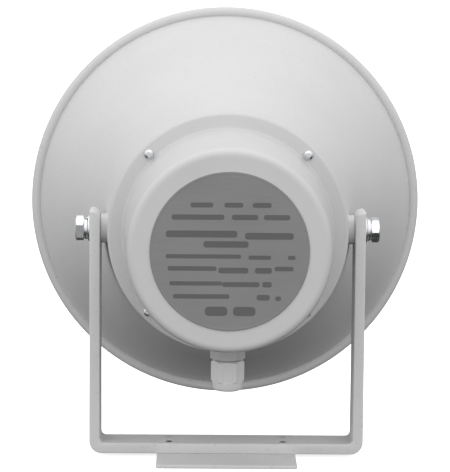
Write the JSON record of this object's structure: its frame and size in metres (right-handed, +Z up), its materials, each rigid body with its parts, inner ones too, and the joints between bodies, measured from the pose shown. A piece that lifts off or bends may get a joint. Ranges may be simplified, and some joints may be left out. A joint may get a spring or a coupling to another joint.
{
  "type": "re-entrant alarm horn",
  "caption": "Folded alarm horn speaker: flared bell, rear driver cap with rating plate and cable gland, tilting between the legs of a U-shaped bracket on a foot plate.",
  "frame": {"origin": "on the foot plate's underside, straight below the middle of the tilt hinge", "axes": "+Z up from the foot plate, the horn's mouth faces -Y and its rear cap +Y, the bolts of the tilt hinge lie along X"},
  "size_m": [0.248, 0.2526, 0.2554],
  "materials": {
    "grey_paint": "fine textured powder coat",
    "painted_aluminium": "light grey powder coat over aluminium",
    "cap_plastic": "light grey moulded plastic",
    "gland_plastic": "grey nylon",
    "bare_aluminium": "machined",
    "zinc_steel": "bright zinc plate",
    "plain_steel": "passivated",
    "brass": "machined",
    "black_rubber": "matt",
    "grey_rubber": "matt",
    "label": "printed grey with plain bars",
    "black_plastic": "moulded",
    "ferrite": "sintered, dark grey",
    "phenolic": "resin-bonded cloth",
    "copper": "enamelled winding",
    "core_iron": "stacked, varnished",
    "white_ceramic": "glazed",
    "red_insulation": "wire insulation",
    "black_insulation": "wire insulation"
  },
  "bodies": {
    "bracket_body": {"bracket": "grey_paint", "foot_plate": "grey_paint", "foot_rivets": "grey_paint"},
    "horn": {"bell": "painted_aluminium", "pivot_inserts": "brass", "pivot_bolts": "zinc_steel", "spring_washers": "zinc_steel", "flat_washers": "zinc_steel", "cap_gasket": "grey_rubber", "rear_cap": "cap_plastic", "cap_screws": "zinc_steel", "rating_plate": "label", "gland_body": "gland_plastic", "gland_washer": "grey_rubber", "gland_locknut": "gland_plastic", "gland_seal": "black_rubber", "gland_nut": "gland_plastic", "bulkhead": "bare_aluminium", "bulkhead_screws": "plain_steel", "throat_tube": "painted_aluminium", "throat_screws": "plain_steel", "tube_gasket": "grey_rubber", "reflector_spider": "painted_aluminium", "reflector": "painted_aluminium", "reflector_screw": "zinc_steel", "throat_plate": "bare_aluminium", "phase_plug": "black_plastic", "driver_screws": "plain_steel", "diaphragm_ring": "black_plastic", "surround": "black_rubber", "top_plate": "plain_steel", "magnet_ring": "ferrite", "yoke": "plain_steel", "chassis_pillars": "plain_steel", "chassis_plate": "plain_steel", "chassis_screws": "zinc_steel", "transformer_core": "core_iron", "transformer_coil": "copper", "transformer_clamps": "plain_steel", "terminal_block": "white_ceramic", "terminal_screws": "brass", "line_wires": "red_insulation", "coil_wires": "black_insulation"},
    "moving_coil": {"diaphragm": "phenolic", "voice_coil": "copper"}
  },
  "joints": [
    {"name": "horn_tilt", "type": "hinge", "parent": "bracket_body", "child": "horn", "pos_m": [0, 0, 0.1315], "axis": [1, 0, 0], "range_deg": [-90, 24]},
    {"name": "diaphragm_travel", "type": "slide", "parent": "horn", "child": "moving_coil", "axis": [0, -1, 0], "range_m": [-0.0004, 0.0004], "stiffness_N_per_m": 300}
  ]
}
